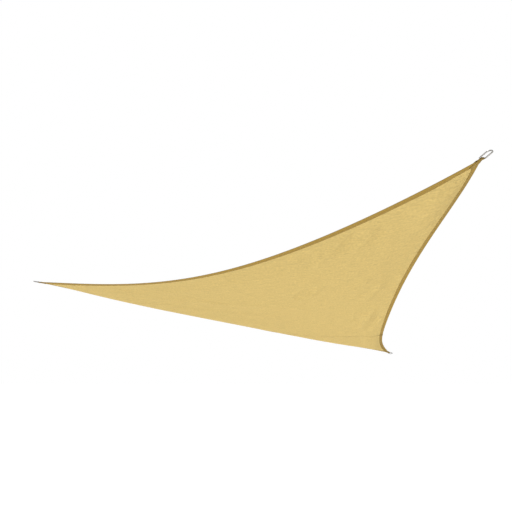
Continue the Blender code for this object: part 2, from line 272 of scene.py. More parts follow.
def hang_from_tip(weights, folded):
    """The hung places from the high corner's tip. Each edge's 4 * p * q is 1 at its middle,
    and on the edge it is the 1 - s * s of its bow. 27 times the three weights is 1 at the
    middle of the cloth."""
    place = weights @ CORNER
    for edge in EDGES:
        p, q = weights[:, edge.start], weights[:, edge.end]
        place += np.outer(4 * p * q * bowed(edge.hollow, p - q), INWARD[edge])
        place -= np.outer(4 * p * q * bowed(edge.sag, p - q), UP)
        place += np.outer(roll_height(edge, weights), PLANE_UP)
    lean = (weights - 1 / 3) @ BELLY_LEAN
    pouch = POUCH_MIDDLE + POUCH_ENDS * (weights[:, LEFT] - weights[:, LOW]) ** 2
    belly = lean + pouch * (1 - weights[:, HIGH]) ** POUCH_FADE
    place -= np.outer(27 * weights.prod(axis=1) * belly, UP)
    if folded:
        place += np.outer(fold_height(weights), PLANE_UP)
    return place


def upward(normals):
    """Unit normals, turned to the upper side of the cloth."""
    normals = unit(normals)
    return normals * np.sign(normals @ PLANE_UP)[:, None]


def corner_weights(corner, inset):
    """The weights at inset metres from a corner, on the line that halves it."""
    weights = np.full(3, inset / HEIGHT / 2)
    weights[corner] = 1 - inset / HEIGHT
    return weights


def corner_axes(corner, inset):
    """Matrix at a corner, from the high tip: X out of the cloth, Y across, Z its normal."""
    here = corner_weights(corner, inset)
    first, second = (k for k in range(3) if k != corner)
    shifted = here.copy()
    shifted[first] += STEP
    shifted[second] -= STEP
    inner = corner_weights(corner, inset + HEIGHT * STEP)
    place, inner, side = hang_from_tip(np.array([here, inner, shifted]), folded=False)
    out = Vector(place - inner).normalized()
    across = Vector(side - place)
    normal = out.cross(across - out * across.dot(out)).normalized()
    if normal.dot(Vector(PLANE_UP)) < 0:
        normal.negate()
    turn = Matrix((out, normal.cross(out), normal)).transposed().to_4x4()
    return Matrix.Translation(Vector(place)) @ turn


# Where the high corner's ring bears on what holds it, from the corner's tip
SEAT = np.array(corner_axes(HIGH, 0.0) @ Vector((BAR_REACH + RING_LENGTH - WIRE / 2, 0.0, 0.0)))


def hang(weights, folded=False):
    """Row-frame places of the cloth's middle surface, for corner weights in ORDER."""
    return hang_from_tip(weights, folded) - SEAT


def surface(weights):
    """Places and upward normals of the folded cloth at these weights."""
    place = hang(weights, folded=True)
    first = hang(weights + STEP * np.array([1.0, -1.0, 0.0]), folded=True) - place
    second = hang(weights + STEP * np.array([0.0, 1.0, -1.0]), folded=True) - place
    return place, upward(np.cross(first, second))


def on_edge(edge, t, depth):
    """Weights at t along an edge, and depth (of HEIGHT) in from it."""
    weights = np.empty((len(t), 3))
    weights[:] = np.reshape(depth, (-1, 1))
    weights[:, edge.start] = 1 - t - depth / 2
    weights[:, edge.end] = t - depth / 2
    return weights


def edge_frames(edge, t, depth=0.0):
    """Places, inward directions, upward normals and metres for each unit of depth, at t along
    an edge and depth in from it."""
    here = hang(on_edge(edge, t, depth))
    along = unit(hang(on_edge(edge, t + STEP, depth)) - here)
    slope = (hang(on_edge(edge, t, depth + STEP)) - here) / STEP
    slope -= along * (slope * along).sum(axis=1)[:, None]
    reach = np.linalg.norm(slope, axis=1)
    return here, slope / reach[:, None], upward(np.cross(along, slope)), reach


def corner_frame(corner, inset=0.0):
    return Matrix.Translation(-Vector(SEAT)) @ corner_axes(corner, inset)


# ---- Sizes and finishes that a user would change ----
def number(name, description, default, **more):
    return bpy.props.FloatProperty(name=name, description=description, default=default, **more)


def metres(name, description, default):
    return number(name, description, default, min=0.0, unit="LENGTH", precision=4)


def tint(name, description, default):
    return bpy.props.FloatVectorProperty(
        name=name, description=description, default=default, subtype="COLOR", min=0.0, max=1.0
    )


class SailSizes(bpy.types.PropertyGroup):
    """Sizes of the sail's pieces."""

    cloth_thickness: metres("Cloth thickness", "Thickness of the knitted cloth", 0.0016)
    cloth_cells: bpy.props.IntProperty(
        name="Cloth cells", description="Cells along each side of the cloth", default=260, min=24
    )
    seam_width: metres("Seam width", "Width of the panel seam's overlap", 0.030)
    seam_thickness: metres("Seam thickness", "Extra thickness at the panel seam", 0.0005)
    tape_width: metres("Tape width", "Binding tape on each face, from the edge in", 0.028)
    tape_thickness: metres("Tape thickness", "Thickness of the binding tape", 0.0010)
    tape_lap: metres("Tape lap", "Length of the overlap where the tape is joined", 0.040)
    webbing_width: metres("Webbing width", "Width of the corner tabs", 0.020)
    webbing_thickness: metres("Webbing thickness", "Thickness of the corner tabs", 0.0015)
    tab_leg: metres("Tab leg", "Length of each tab leg on the cloth", 0.058)
    wire: metres("Ring wire", "Diameter of the rings' wire", WIRE)
    ring_length: metres("Ring length", "Bar to far end, between wire centres", RING_LENGTH)
    ring_width: metres("Ring width", "Side to side, between wire centres", 0.030)
    stitch_pitch: metres("Stitch pitch", "From one stitch to the next", 0.0042)
    stitch_length: metres("Stitch length", "Length of thread that shows", 0.0036)
    thread: metres("Thread", "Diameter of the sewing thread", 0.0009)


class SailFinish(bpy.types.PropertyGroup):
    """Colours and finish of the sail's materials."""

    cloth: tint("Cloth", "Colour of the knitted cloth", (0.562, 0.429, 0.165))
    tape: tint("Tape", "Colour of the binding tape", (0.236, 0.153, 0.034))
    webbing: tint("Webbing", "Colour of the corner tabs", (0.250, 0.165, 0.042))
    thread: tint("Thread", "Colour of the sewing thread", (0.420, 0.300, 0.110))
    steel: tint("Steel", "Colour of the rings", (0.380, 0.365, 0.345))
    light_through: number(
        "Light through",
        "Share of the light that the cloth lets through",
        0.30,
        min=0.0,
        max=1.0,
        subtype="FACTOR",
    )


class SailStage(bpy.types.PropertyGroup):
    """The floor, the light and the camera."""

    floor_drop: metres("Floor drop", "From the high ring down to the floor", 2.6)
    floor_side: metres("Floor side", "Length of the floor's sides", 400.0)
    sky: number("Sky", "Strength of the even light", 0.46, min=0.0)
    key: number("Key", "Strength of the light from above", 1.6, min=0.0)
    bounce: number("Bounce", "Strength of the light from below", 2.74, min=0.0)
    softbox: number(
        "Softbox", "Power of the lamp below the sail's right end", 17.0, min=0.0, unit="POWER"
    )
    lens: number("Lens", "The camera's focal length", 34.28, unit="CAMERA")
    tilt: number("Tilt", "The camera's upward tilt", 0.25, unit="ROTATION")


# ---- Node helpers ----
def made_once(kind):
    """For the maker of a material or node group: it's made under the maker's name at its
    first use, and found in the file from then on."""

    def wrap(make):
        name = make.__name__
        return lambda: getattr(bpy.data, kind).get(name) or make(name)

    return wrap


def feed(tree, node, inputs):
    """Give a node values or links for its inputs."""
    for name, value in inputs.items():
        if isinstance(value, bpy.types.NodeSocket):
            tree.links.new(value, node.inputs[name])
        else:
            node.inputs[name].default_value = value


def add_node(tree, kind, inputs=None, **settings):
    """A node with its settings, and with values or links for its inputs."""
    node = tree.nodes.new(kind)
    for name, value in settings.items():
        setattr(node, name, value)
    feed(tree, node, inputs or {})
    return node


def maths(tree, operation, *values):
    return add_node(tree, "ShaderNodeMath", dict(enumerate(values)), operation=operation).outputs[0]


def noise(tree, place, scale, detail):
    inputs = {"Vector": place, "Scale": scale, "Detail": detail}
    return add_node(tree, "ShaderNodeTexNoise", inputs).outputs[0]


def spread(tree, share, low, high):
    inputs = {"Value": share, "To Min": low, "To Max": high}
    return add_node(tree, "ShaderNodeMapRange", inputs).outputs[0]


def dyed(tree, colour, tone, share=1.0):
    """One of the sail's colours, multiplied by a share of a tone around 1."""
    colour = getattr(bpy.context.scene.sail_finish, colour)
    inputs = {"Factor": share, 6: (*colour, 1.0), 7: tone}
    node = add_node(tree, "ShaderNodeMix", inputs, data_type="RGBA", blend_type="MULTIPLY")
    return node.outputs[2]


def relief(tree, height, depth, strength):
    inputs = {"Height": height, "Distance": depth, "Strength": strength}
    return add_node(tree, "ShaderNodeBump", inputs).outputs[0]


def mix_shaders(tree, share, first, second):
    inputs = {0: share, 1: first.outputs[0], 2: second.outputs[0]}
    return add_node(tree, "ShaderNodeMixShader", inputs).outputs[0]


def camera_sees(tree):
    return tree.nodes.new("ShaderNodeLightPath").outputs["Is Camera Ray"]


def new_group(name, kind, inputs, output):
    """A node group with its named inputs and its one output, each given with its kind."""
    tree = bpy.data.node_groups.new(name, kind)
    for sockets, way in ((inputs, "INPUT"), (output, "OUTPUT")):
        for label, socket in sockets.items():
            tree.interface.new_socket(label, in_out=way, socket_type=f"NodeSocket{socket}")
    return tree, tree.nodes.new("NodeGroupInput").outputs, tree.nodes.new("NodeGroupOutput")


def use_group(tree, group, place, labels, numbers):
    inputs = {"Coordinates": place, **dict(zip(labels, numbers))}
    return add_node(tree, "ShaderNodeGroup", inputs, node_tree=group).outputs[0]


def new_material(name):
    """A material with its node tree and its main shader."""
    material = bpy.data.materials.new(name)
    material.use_nodes = True
    return material, material.node_tree, material.node_tree.nodes["Principled BSDF"]


# ---- Finishes ----
# The numbers that the two groups of yarn take, with their usual values.
RIBS = {"Rib Pitch": 0.002, "Zigzag Pitch": 0.003, "Zigzag Reach": 0.3}
TONES = {"Blotches": 60.0, "Streaks": 90.0, "Streak Share": 0.04, "Amount": 0.05}


def yarn_group(name, usual, output):
    """A shader group that takes coordinates and numbers, and gives one number."""
    inputs = {"Coordinates": "Vector", **dict.fromkeys(usual, "Float")}
    tree, given, result = new_group(name, "ShaderNodeTree", inputs, {output: "Float"})
    for label, value in usual.items():
        tree.interface.items_tree[label].default_value = value
    return tree, given, result


@made_once("node_groups")
def yarn_ribs(name):
    """Ribs of yarn along Y that zigzag across X: height from 0 between ribs to 1 on top."""
    tree, given, result = yarn_group(name, RIBS, "Height")
    axes = add_node(tree, "ShaderNodeSeparateXYZ", {0: given["Coordinates"]}).outputs
    across = maths(tree, "DIVIDE", axes["X"], given["Rib Pitch"])
    along = maths(tree, "DIVIDE", axes["Y"], given["Zigzag Pitch"])
    zigzag = maths(tree, "PINGPONG", along, 1.0)
    shifted = maths(tree, "MULTIPLY_ADD", zigzag, given["Zigzag Reach"], across)
    wave = maths(tree, "COSINE", maths(tree, "MULTIPLY", shifted, 2 * math.pi))
    feed(tree, result, {"Height": maths(tree, "MULTIPLY_ADD", wave, 0.5, 0.5)})
    return tree


@made_once("node_groups")
def uneven_yarn(name):
    """Uneven yarn: a tone around 1, from fine blotches and from streaks along Y."""
    tree, given, result = yarn_group(name, TONES, "Tone")
    place = given["Coordinates"]
    blotches = noise(tree, place, given["Blotches"], detail=3.0)
    inputs = {"X": 1.0, "Y": given["Streak Share"], "Z": 1.0}
    stretch = add_node(tree, "ShaderNodeCombineXYZ", inputs).outputs[0]
    inputs = {0: place, 1: stretch}
    stretched = add_node(tree, "ShaderNodeVectorMath", inputs, operation="MULTIPLY").outputs[0]
    streaks = noise(tree, stretched, given["Streaks"], detail=2.0)
    both = maths(tree, "SUBTRACT", maths(tree, "ADD", blotches, streaks), 1.0)
    feed(tree, result, {"Tone": maths(tree, "MULTIPLY_ADD", both, given["Amount"], 1.0)})
    return tree


def yarn(name, colour, ribs, tones, depth, roughness, light_through=0.0):
    """Woven or knitted yarn on the piece's own UV map, in metres. ribs and tones are what
    RIBS and TONES name, and depth is the height of the ribs in metres. The colour has painted
    shade between the ribs and a painted highlight on their tops. The piece's "tone" attribute
    darkens or lightens it, and on the tapes and the seam it carries painted shade and highlight."""
    material, tree, shader = new_material(name)
    uv = add_node(tree, "ShaderNodeUVMap", uv_map="flat").outputs[0]
    height = use_group(tree, yarn_ribs(), uv, RIBS, ribs)
    uneven = use_group(tree, uneven_yarn(), uv, TONES, tones)
    # the "tone" attribute: painted shade and painted highlight on the tapes and the seam, a plain
    # tone elsewhere
    sewn = add_node(tree, "ShaderNodeAttribute", attribute_name="tone").outputs["Fac"]
    # painted shade between the ribs and painted highlight on their tops, times the yarn's uneven
    # tone
    knit = maths(tree, "MULTIPLY", spread(tree, height, *RIB_PAINTED_LIGHT), uneven)
    colour = dyed(tree, colour, maths(tree, "MULTIPLY", knit, sewn))
    bump = relief(tree, height, depth, strength=0.6)
    feed(tree, shader, {"Base Color": colour, "Normal": bump})
    feed(tree, shader, {"Roughness": roughness, "Specular IOR Level": 0.08})
    if light_through:
        behind = add_node(tree, "ShaderNodeBsdfTranslucent", {"Color": colour, "Normal": bump})
        both = mix_shaders(tree, light_through, shader, behind)
        feed(tree, tree.nodes["Material Output"], {"Surface": both})
    return material


@made_once("materials")
def knitted_cloth(name):
    ribs, tones = (0.0028, 0.0021, 0.35), (64.0, 120.0, 0.10, 0.42)
    through = bpy.context.scene.sail_finish.light_through
    return yarn(name, "cloth", ribs, tones, depth=0.0004, roughness=0.85, light_through=through)


@made_once("materials")
def binding_tape(name):
    ribs, tones = (0.0016, 0.0040, 1.5), (90.0, 160.0, 0.05, 0.14)
    return yarn(name, "tape", ribs, tones, depth=0.0003, roughness=0.80)


@made_once("materials")
def tab_webbing(name):
    ribs, tones = (0.0022, 0.0050, 2.0), (140.0, 260.0, 0.05, 0.16)
    return yarn(name, "webbing", ribs, tones, depth=0.0004, roughness=0.75, light_through=0.20)


@made_once("materials")
def sewing_thread(name):
    """Twisted thread: fine plies in Object coordinates."""
    material, tree, shader = new_material(name)
    place = add_node(tree, "ShaderNodeTexCoord").outputs["Object"]
    plies = spread(tree, noise(tree, place, scale=900.0, detail=2.0), *PLY_TONES)
    colour = dyed(tree, "thread", plies)
    feed(tree, shader, {"Base Color": colour, "Roughness": 0.55})
    return material


@made_once("materials")
def satin_steel(name):
    """Drawn wire: faint scratches along it and blotches in its roughness."""
    material, tree, shader = new_material(name)
    uv = add_node(tree, "ShaderNodeUVMap", uv_map="flat").outputs[0]
    drawn = use_group(tree, uneven_yarn(), uv, TONES, (60.0, 1500.0, 0.02, 0.5))
    colour = dyed(tree, "steel", drawn, share=0.35)
    bump = relief(tree, drawn, depth=0.00005, strength=0.5)
    roughness = maths(tree, "MULTIPLY", drawn, 0.28)
    feed(tree, shader, {"Base Color": colour, "Normal": bump})
    feed(tree, shader, {"Roughness": roughness, "Metallic": 1.0})
    return material


# ---- Mesh helpers ----
def add_object(name, data):
    made = bpy.data.objects.new(name, data)
    bpy.context.scene.collection.objects.link(made)
    return made


def add_piece(name, data, material, slot, *nodes):
    """A mesh in the row frame as a piece on the sail's body, in place of CAD nodes."""
    data.materials.clear()
    data.materials.append(material)
    piece = add_object(name, data)
    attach(piece, BODY)
    if nodes:
        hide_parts(*nodes)


def as_mesh(grid, name):
    data = bpy.data.meshes.new(name)
    grid.to_mesh(data)
    grid.free()
    return data


def as_modified(carrier):
    """The mesh as its carrier's modifiers leave it. The carrier is removed."""
    view = bpy.context.evaluated_depsgraph_get()
    made = bpy.data.meshes.new_from_object(carrier.evaluated_get(view))
    bpy.data.objects.remove(carrier)
    return made


def smoothed(data):
    data.shade_smooth()
    data.set_sharp_from_angle(angle=SHARP_FROM)
    return data


def thickened(data, thickness, rounding=0.0):
    """A sheet given its thickness, with its rim rounded if there is a rounding."""
    steps = {"SOLIDIFY": {"thickness": thickness, "offset": 0.0, "use_even_offset": True}}
    if rounding:
        steps["BEVEL"] = {"width": rounding, "segments": 2, "angle_limit": ROUNDED_FROM}
    carrier = add_object("carrier", data)
    for kind, settings in steps.items():
        modifier = carrier.modifiers.new(kind, kind)
        for name, value in settings.items():
            setattr(modifier, name, value)
    return smoothed(as_modified(carrier))


def sheet_mesh(rows, flat, tone=None):
    """A sheet through an array of points (rows, columns, 3), with its UV map in metres from
    flat (rows, columns, 2) and a tone for each point."""
    down, across = rows.shape[0] - 1, rows.shape[1] - 1
    grid = bmesh.new()
    bmesh.ops.create_grid(grid, x_segments=across, y_segments=down, size=0.5)
    uv_layer = grid.loops.layers.uv.new("flat")
    tone_layer = grid.verts.layers.float.new("tone")
    cells = {}
    for vert in grid.verts:
        cell = round((vert.co.y + 0.5) * down), round((vert.co.x + 0.5) * across)
        cells[vert] = cell
        vert.co = rows[cell]
        vert[tone_layer] = 1.0 if tone is None else tone[cell]
    for face in grid.faces:
        for loop in face.loops:
            loop[uv_layer].uv = flat[cells[loop.vert]]
    return as_mesh(grid, "sheet")


def run_length(line):
    """How far along a line of points each one is."""
    return np.cumsum([0.0, *np.linalg.norm(np.diff(line, axis=0), axis=1)])


# ---- The cloth ----
def cloth_mesh(cells):
    """A flat triangle, cut into even cells and then hung."""
    grid = bmesh.new()
    bmesh.ops.create_circle(grid, cap_ends=True, segments=3, radius=1.0)
    tips = np.array([vert.co for vert in grid.verts])
    bmesh.ops.subdivide_edges(grid, edges=grid.edges[:], cuts=cells - 1, use_grid_fill=True)
    data = as_mesh(grid, "cloth")
    spot = np.empty(len(data.vertices) * 3)
    data.vertices.foreach_get("co", spot)
    spot = spot.reshape(-1, 3)
    to_weights = np.linalg.inv(np.vstack([tips[:, :2].T, np.ones(3)]))
    shares = np.column_stack([spot[:, :2], np.ones(len(spot))]) @ to_weights.T
    shares = np.clip(shares, 0.0, None) ** EDGE_CROWDING
    weights = shares / shares.sum(axis=1)[:, None]
    data.vertices.foreach_set("co", hang(weights, folded=True).ravel())
    corner_vertex = np.empty(len(data.loops), dtype=np.int32)
    data.loops.foreach_get("vertex_index", corner_vertex)
    uv_layer = data.uv_layers.new(name="flat")
    uv_layer.uv.foreach_set("vector", (weights @ FLAT)[corner_vertex].ravel())
    tone = data.attributes.new("tone", "FLOAT", "POINT")
    tone.data.foreach_set("value", np.ones(len(spot)))
    return data


class SAIL_OT_hang_cloth(bpy.types.Operator):
    """Hang the knitted cloth, with its folds"""

    bl_idname = "sail.hang_cloth"
    bl_label = "Hang cloth"

    def execute(self, context):
        sizes = context.scene.sail_sizes
        data = thickened(cloth_mesh(sizes.cloth_cells), sizes.cloth_thickness)
        add_piece("cloth_panel", data, knitted_cloth(), "cloth", "sail_cloth")
        return {"FINISHED"}


# ---- The panel seam ----
def seam_line(sizes, insets):
    """Weights along the panel seam, from one bound edge to the other."""
    first, last = np.array(insets) * sizes.tape_width / SEAM_LENGTH
    share = np.linspace(first, 1 - last, SEAM_STEPS)[:, None]
    return SEAM_START * (1 - share) + SEAM_END * share


def seam_mesh(sizes):
    """The strip of overlap under the panel seam, hugging the cloth's lower face."""
    columns = 6
    shift = np.linspace(-0.5, 0.5, columns)[:, None] * sizes.seam_width
    weights = (seam_line(sizes, SEAM_INSETS)[:, None, :] + shift * SEAM_ASIDE).reshape(-1, 3)
    place, normal = surface(weights)
    drop = sizes.cloth_thickness / 2 + sizes.seam_thickness / 2 + SEAM_GAP
    rows = (place - normal * drop).reshape(-1, columns, 3)
    from_tape = np.linalg.norm(rows - rows[0], axis=2)
    # painted shade on the seam strip, darkest beside the tape
    tone = SEAM_TONE - SEAM_PAINTED_SHADE * np.exp(-from_tape / SEAM_PAINTED_SHADE_REACH)
    sheet = sheet_mesh(rows, (weights @ FLAT).reshape(-1, columns, 2), tone)
    return thickened(sheet, sizes.seam_thickness, SEAM_ROUNDING)


class SAIL_OT_lap_seam(bpy.types.Operator):
    """Lap the panel seam across the cloth"""

    bl_idname = "sail.lap_seam"
    bl_label = "Lap panel seam"

    def execute(self, context):
        data = seam_mesh(context.scene.sail_sizes)
        add_piece("panel_seam", data, knitted_cloth(), "cloth")
        return {"FINISHED"}


# ---- The binding tapes ----
def tape_depth(edge, t, width):
    """How deep the tape reaches at t: its width, or less where the mitre cuts it."""
    if HIGH in (edge.start, edge.end):
        from_high = t if edge.start == HIGH else 1 - t
        width = width * (1 - HIGH_TAPER * (1 - smooth(*HIGH_TAPER_SPAN, from_high)))
    mitre = (np.minimum(t, 1 - t) - 2 * MITRE_GAP / SIDE) / MITRE_RATIO
    return np.minimum(width / edge_frames(edge, t)[3], mitre)


def tape_stations(edge, first=0.0, last=1.0):
    """Places along an edge, from one mitre to the other or between first and last."""
    ends = []
    for end in (0.0, 1.0):
        near = np.array([abs(end - TAPE_TIP / SIDE)])
        depth = TAPE_TIP / edge_frames(edge, near)[3][0]
        ends.append(abs(end - MITRE_RATIO * depth - 2 * MITRE_GAP / SIDE))
    first, last = max(first, min(ends)), min(last, max(ends))
    return np.linspace(first, last, round((last - first) * SIDE / STATION) + 1)


def lap_done(t, sizes):
    """How far along the tape's lap each place is: 0 at its start and 1 at its end."""
    return (t - SEAM_AT) * SIDE / sizes.tape_lap + 0.5


def lap_lift(t, sizes):
    """Extra height of the tape's second length, which starts on top of the first."""
    return (sizes.tape_thickness + LAP_GAP) * (1 - smooth(*LAP_FALL, lap_done(t, sizes)))


def tape_rows(edge, t, sizes, extra_lift):
    """Points of the folded tape, its UV map and tones: out along the lower face, round the
    edge and back in along the upper face. The tones are painted light beside the fold, a painted
    highlight round it and painted shade towards the rows of stitches."""
    leg_steps, fold_steps = 6, 8
    half = sizes.cloth_thickness / 2 + sizes.tape_thickness / 2
    depth = tape_depth(edge, t, sizes.tape_width)
    under, over = [], []
    for k in range(leg_steps):
        share = 1 - k / leg_steps
        here, _, normal, _ = edge_frames(edge, t, depth * share)
        gap = TAPE_GAP + (TAPE_GAP_SEWN - TAPE_GAP) * smooth(*TAPE_SEWN_FROM, share)
        lift = normal * np.reshape(half + gap + extra_lift, (-1, 1))
        # painted light beside the fold, fading into painted shade towards the rows of stitches
        tone = TAPE_FOLD_PAINTED_LIGHT - TAPE_PAINTED_SHADE * smooth(*TAPE_PAINTED_SHADE_FROM, share)
        under.append((here - lift, tone))
        over.insert(0, (here + lift, tone))
    here, inwards, normal, _ = edge_frames(edge, t)
    lift = np.reshape(half + TAPE_GAP + extra_lift, (-1, 1))
    bend = []
    for k in range(fold_steps + 1):
        turn = math.pi * k / fold_steps
        place = here + inwards * (FOLD_INSET - lift * math.sin(turn))
        # painted highlight round the fold
        tone = TAPE_FOLD_PAINTED_LIGHT + TAPE_PAINTED_HIGHLIGHT * math.sin(turn)
        bend.append((place - normal * lift * math.cos(turn), tone))
    places, tones = zip(*under, *bend, *over)
    rows = np.stack(places, axis=1)
    across = np.array([run_length(row) for row in rows])
    along = np.repeat((t * SIDE)[:, None], rows.shape[1], axis=1)
    return rows, np.stack([along, across], axis=2), np.tile(tones, (len(t), 1))


def tape_length(edge, sizes, first=0.0, last=1.0, on_top=False):
    """One length of tape, from first to last along an edge."""
    t = tape_stations(edge, first, last)
    if edge is SEAMED:
        joint_stations = JOINT_HALF * np.linspace(-2, 2, 9)
        t = np.unique(np.concatenate([t, SEAM_AT + joint_stations / SIDE]))
    lift = lap_lift(t, sizes) if on_top else np.zeros(len(t))
    rows, flat, tone = tape_rows(edge, t, sizes, lift)
    if on_top:
        tone *= LAP_TONE
    if edge is SEAMED:
        # painted shade across the tape where the seam meets it
        off = (t - SEAM_AT) * SIDE / JOINT_HALF
        tone *= 1 - JOINT_PAINTED_SHADE * np.exp(-(off**2))[:, None]
    return thickened(sheet_mesh(rows, flat, tone), sizes.tape_thickness, TAPE_ROUNDING)


def tape_mesh(edge, sizes):
    """An edge's tape: one length, or two that overlap where the seam meets the edge."""
    if edge is SEAMED:
        half_lap = sizes.tape_lap / SIDE / 2
        lengths = [
            tape_length(edge, sizes, last=SEAM_AT + half_lap),
            tape_length(edge, sizes, first=SEAM_AT - half_lap, on_top=True),
        ]
    else:
        lengths = [tape_length(edge, sizes)]
    grid = bmesh.new()
    for length in lengths:
        grid.from_mesh(length)
    return smoothed(as_mesh(grid, "tape"))


class SAIL_OT_bind_edges(bpy.types.Operator):
    """Fold the binding tape over each edge"""

    bl_idname = "sail.bind_edges"
    bl_label = "Bind edges"

    def execute(self, context):
        for edge in EDGES:
            name = f"{ORDER[edge.start]}_{ORDER[edge.end]}"
            data = tape_mesh(edge, context.scene.sail_sizes)
            add_piece(f"tape_{name}", data, binding_tape(), "binding", f"binding_{name}")
        return {"FINISHED"}


# ---- The corner tabs ----
def tab_line(corner, sizes):
    """Frames and offsets along a tab: out along the lower face, round the bar and back in."""
    leg_steps, neck_steps, loop_steps = 20, 5, 20
    radius = sizes.wire / 2 + WIRE_GAP + sizes.webbing_thickness / 2
    tip = corner_frame(corner)
    insets = [sizes.tab_leg * (1 - k / leg_steps) for k in range(leg_steps)]
    legs = [(corner_frame(corner, inset), 0.0) for inset in insets]
    legs += [(tip, BAR_REACH * k / neck_steps) for k in range(neck_steps)]
    line = [(*leg, -radius) for leg in legs]
    for k in range(loop_steps + 1):
        turn = math.pi * k / loop_steps
        line.append((tip, BAR_REACH + radius * math.sin(turn), -radius * math.cos(turn)))
    return line + [(*leg, radius) for leg in reversed(legs)]


def pressed(inset, reach, side, height, sizes):
    """A leg's height where nothing lies between the legs: pressed almost together."""
    inside = TIP_SPREAD * inset + TIP_HALF - reach - abs(side)
    cloth = smooth(-PRESS_EASE, PRESS_EASE, inside)
    bar = smooth(TAB_SHUT_TO, BAR_REACH, reach)
    closed = math.copysign(sizes.webbing_thickness / 2 + WIRE_GAP, height)
    return closed + (height - closed) * max(cloth, bar)


def tab_mesh(corner, sizes):
    columns = 11
    sides = np.linspace(-0.5, 0.5, columns) * sizes.webbing_width
    tip = corner_frame(corner).translation
    rows = []
    for at, reach, height in tab_line(corner, sizes):
        inset = (at.translation - tip).length
        heights = [pressed(inset, reach, side, height, sizes) for side in sides]
        rows.append([at @ Vector((reach, side, up)) for side, up in zip(sides, heights)])
    rows = np.array(rows)
    along = run_length(rows[:, columns // 2])
    flat = np.stack(np.broadcast_arrays(along[:, None], sides), axis=2)
    return thickened(sheet_mesh(rows, flat), sizes.webbing_thickness, TAB_ROUNDING)


class SAIL_OT_fold_tabs(bpy.types.Operator):
    """Fold a webbing tab round the bar of each ring"""

    bl_idname = "sail.fold_tabs"
    bl_label = "Fold tabs"

    def execute(self, context):
        for corner, name in enumerate(ORDER):
            data = tab_mesh(corner, context.scene.sail_sizes)
            add_piece(f"webbing_{name}", data, tab_webbing(), "webbing", f"tab_{name}")
        return {"FINISHED"}


# ---- The rings ----
def arc(middle, radius, turns):
    return np.array(middle) + radius * np.column_stack([np.cos(turns), np.sin(turns)])


def ring_line(sizes):
    """Middle of the ring's wire: a straight bar across Y, two sides and a round end."""
    bend_points, end_points = 9, 49
    half = sizes.ring_width / 2
    quarter = math.pi / 2
    turns = np.linspace(2 * quarter, quarter, bend_points)
    bend = arc((RING_BEND, half - RING_BEND), RING_BEND, turns)
    turns = np.linspace(quarter, -quarter, end_points)
    end = arc((sizes.ring_length - half, 0.0), half, turns)
    return np.vstack([bend, end, bend[::-1] * (1, -1)])


def ring_mesh(corner, sizes):
    sides = 20
    radius = sizes.wire / 2
    line = ring_line(sizes)
    ahead = unit(np.roll(line, -1, axis=0) - np.roll(line, 1, axis=0))
    outwards = np.column_stack([ahead[:, 1], -ahead[:, 0]])
    turns = np.linspace(0, 2 * math.pi, sides + 1)
    place = corner_frame(corner) @ Matrix.Translation((BAR_REACH, 0.0, 0.0))
    rows = []
    for spot, out in zip([*line, line[0]], [*outwards, outwards[0]]):
        around = [(*(spot - out * radius * math.cos(a)), radius * math.sin(a)) for a in turns]
        rows.append([place @ Vector(point) for point in around])
    along = run_length(np.vstack([line, line[:1]]))
    flat = np.stack(np.broadcast_arrays(radius * turns, along[:, None]), axis=2)
    grid = bmesh.new()
    grid.from_mesh(sheet_mesh(np.array(rows), flat))
    bmesh.ops.remove_doubles(grid, verts=grid.verts, dist=WELD)
    bmesh.ops.recalc_face_normals(grid, faces=grid.faces)
    data = as_mesh(grid, "ring")
    data.shade_smooth()
    return data


class SAIL_OT_bend_rings(bpy.types.Operator):
    """Bend the three steel rings"""

    bl_idname = "sail.bend_rings"
    bl_label = "Bend rings"

    def execute(self, context):
        for corner, name in enumerate(ORDER):
            data = ring_mesh(corner, context.scene.sail_sizes)
            add_piece(f"steel_ring_{name}", data, satin_steel(), "steel", f"ring_{name}")
        return {"FINISHED"}


